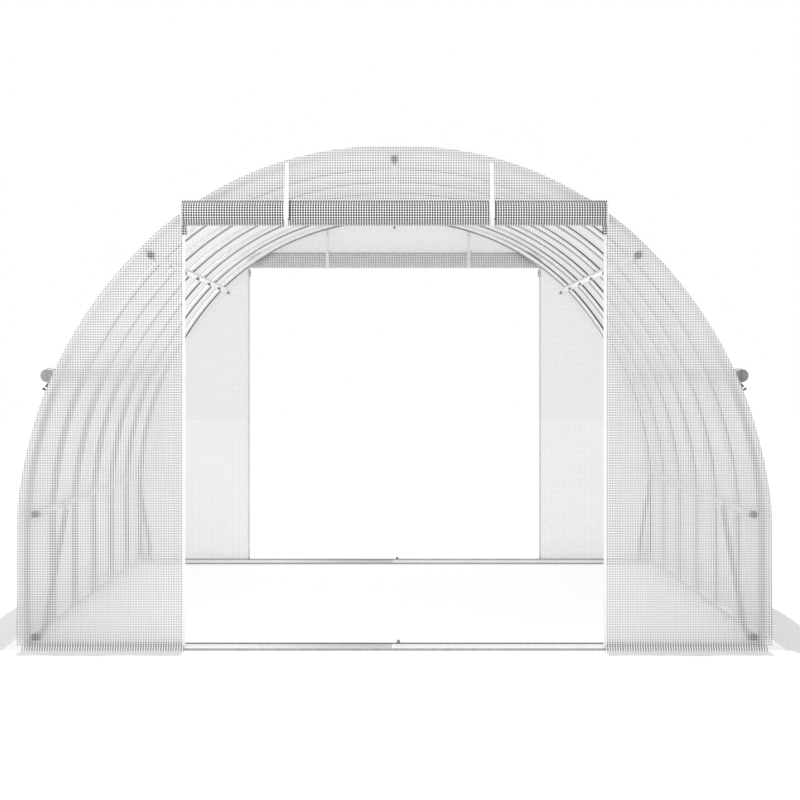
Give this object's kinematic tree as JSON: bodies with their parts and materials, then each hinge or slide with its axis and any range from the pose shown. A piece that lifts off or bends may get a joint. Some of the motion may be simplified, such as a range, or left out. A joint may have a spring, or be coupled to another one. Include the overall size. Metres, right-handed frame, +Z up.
{
  "type": "polytunnel greenhouse",
  "caption": "Walk-in tunnel greenhouse: bolted steel hoops and purlins under a white reinforced sheet, with rolled-up end doors, net side windows and ground skirts.",
  "frame": {"origin": "centre of the footprint at ground level", "axes": "+Z up, +Y along the tunnel from the pictured door to the far door, +X across it to the right seen from the pictured door"},
  "size_m": [3.5366, 6.5116, 2.0018],
  "materials": {
    "galvanised_tube": "bright galvanised steel tube",
    "cover_sheet": "white translucent polyethylene with a woven scrim grid",
    "rolled_sheet": "rolled white polyethylene with a woven scrim grid",
    "insect_net": "fine insect net",
    "strap_webbing": "white webbing"
  },
  "bodies": {
    "root": {"door_straps": "strap_webbing", "front_door_roll": "rolled_sheet", "front_panel_header": "cover_sheet", "front_panel_left": "cover_sheet", "front_panel_right": "cover_sheet", "front_sill": "galvanised_tube", "front_skirts": "cover_sheet", "hoop_1": "galvanised_tube", "hoop_2": "galvanised_tube", "hoop_3": "galvanised_tube", "hoop_4": "galvanised_tube", "hoop_5": "galvanised_tube", "hoop_6": "galvanised_tube", "hoop_7": "galvanised_tube", "left_braces": "galvanised_tube", "left_ground_purlin": "galvanised_tube", "left_haunch_sheet": "cover_sheet", "left_ridge_sheet": "cover_sheet", "left_roof_sheet": "cover_sheet", "left_shoulder_purlin": "galvanised_tube", "left_skirt": "cover_sheet", "left_waist_purlin": "galvanised_tube", "left_wall_sheet": "cover_sheet", "left_window_rolls": "rolled_sheet", "left_window_screens": "insect_net", "left_window_sheet": "cover_sheet", "rear_door_roll": "rolled_sheet", "rear_panel_header": "cover_sheet", "rear_panel_left": "cover_sheet", "rear_panel_right": "cover_sheet", "rear_sill": "galvanised_tube", "rear_skirts": "cover_sheet", "ridge_purlin": "galvanised_tube", "right_braces": "galvanised_tube", "right_ground_purlin": "galvanised_tube", "right_haunch_sheet": "cover_sheet", "right_ridge_sheet": "cover_sheet", "right_roof_sheet": "cover_sheet", "right_shoulder_purlin": "galvanised_tube", "right_skirt": "cover_sheet", "right_waist_purlin": "galvanised_tube", "right_wall_sheet": "cover_sheet", "right_window_rolls": "rolled_sheet", "right_window_screens": "insect_net", "right_window_sheet": "cover_sheet"}
  },
  "joints": []
}
